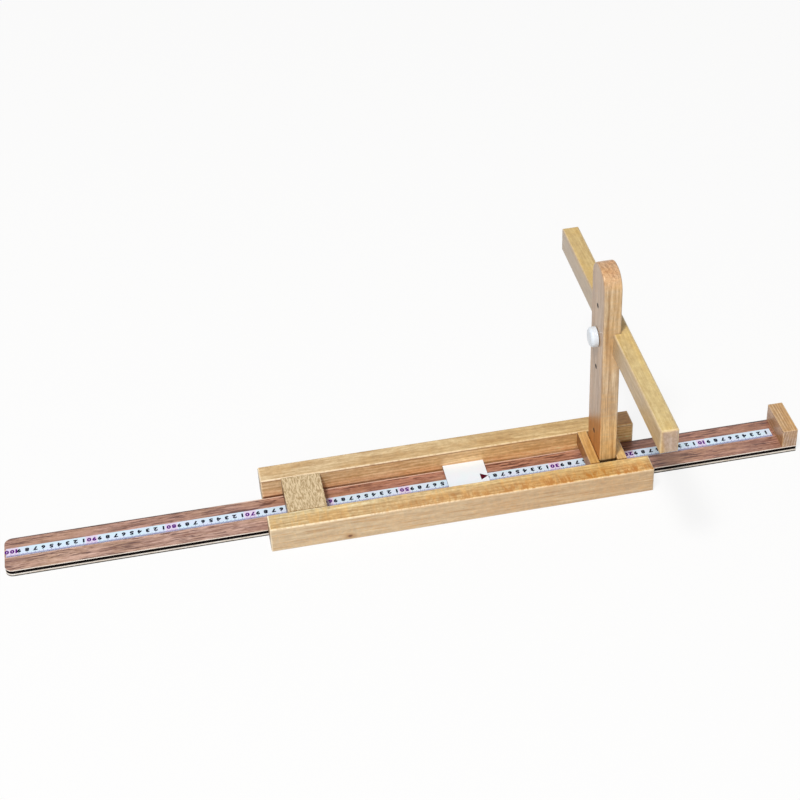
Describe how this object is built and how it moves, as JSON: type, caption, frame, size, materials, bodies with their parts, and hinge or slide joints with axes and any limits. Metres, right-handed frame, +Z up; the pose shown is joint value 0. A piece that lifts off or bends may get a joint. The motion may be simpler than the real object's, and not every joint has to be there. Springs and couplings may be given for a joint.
{
  "type": "sit and reach meter",
  "caption": "Wooden rail-type forward-bend meter: a frame with a post and height-set push bar slides along a graduated board, with a pointer over the scale.",
  "frame": {"origin": "on the floor under the middle of the scale board", "axes": "+X along the board to its end block, where the scale starts; +Y across the board, to the back; +Z up"},
  "size_m": [1.028, 0.44, 0.318],
  "materials": {
    "rail_wood": "clear lacquered softwood",
    "block_wood": "clear lacquered hardwood with flecks",
    "post_wood": "clear lacquered softwood",
    "bar_wood": "clear lacquered softwood",
    "end_block_wood": "clear lacquered softwood",
    "board_plywood": "clear lacquered plywood",
    "dowel_wood": "bare hardwood",
    "tape_film": "printed film",
    "plate_plastic": "white sheet",
    "pointer_print": "dark red print",
    "knob_plastic": "moulded white plastic",
    "insert_brass": "turned",
    "zinc_steel": "zinc plated"
  },
  "bodies": {
    "frame": {"front_rail": "rail_wood", "back_rail": "rail_wood", "cross_block": "block_wood", "post_stop_left": "block_wood", "post_stop_right": "block_wood", "block_dowels": "dowel_wood", "stop_dowels": "dowel_wood", "post": "post_wood", "post_dowels": "dowel_wood", "reading_plate": "plate_plastic", "pointer_mark": "pointer_print"},
    "board": {"scale_board": "board_plywood", "scale_tape": "tape_film", "end_block": "end_block_wood", "end_block_screws": "zinc_steel"},
    "bar": {"crossbar": "bar_wood", "bar_bolt": "zinc_steel", "bolt_washer": "zinc_steel"},
    "knob_carrier": {"knob_washer": "zinc_steel"},
    "knob": {"knob_insert": "insert_brass", "knob_cap": "knob_plastic"}
  },
  "joints": [
    {"name": "board_slide", "type": "slide", "parent": "frame", "child": "board", "axis": [1, 0, 0], "range_m": [-0.213, 0.608]},
    {"name": "bar_draw", "type": "slide", "parent": "frame", "child": "bar", "axis": [1, 0, 0], "range_m": [0, 0.035]},
    {"name": "knob_travel", "type": "slide", "parent": "frame", "child": "knob_carrier", "axis": [-1, 0, 0], "range_m": [0, 0.007]},
    {"name": "knob_turn", "type": "hinge", "parent": "knob_carrier", "child": "knob", "pos_m": [0.24, 0, 0.214], "axis": [-1, 0, 0], "range_deg": [0, 3149]}
  ],
  "couplings": [
    {"joint": "knob_travel", "follows": "knob_turn", "m_per_rad": 0.00012732}
  ]
}
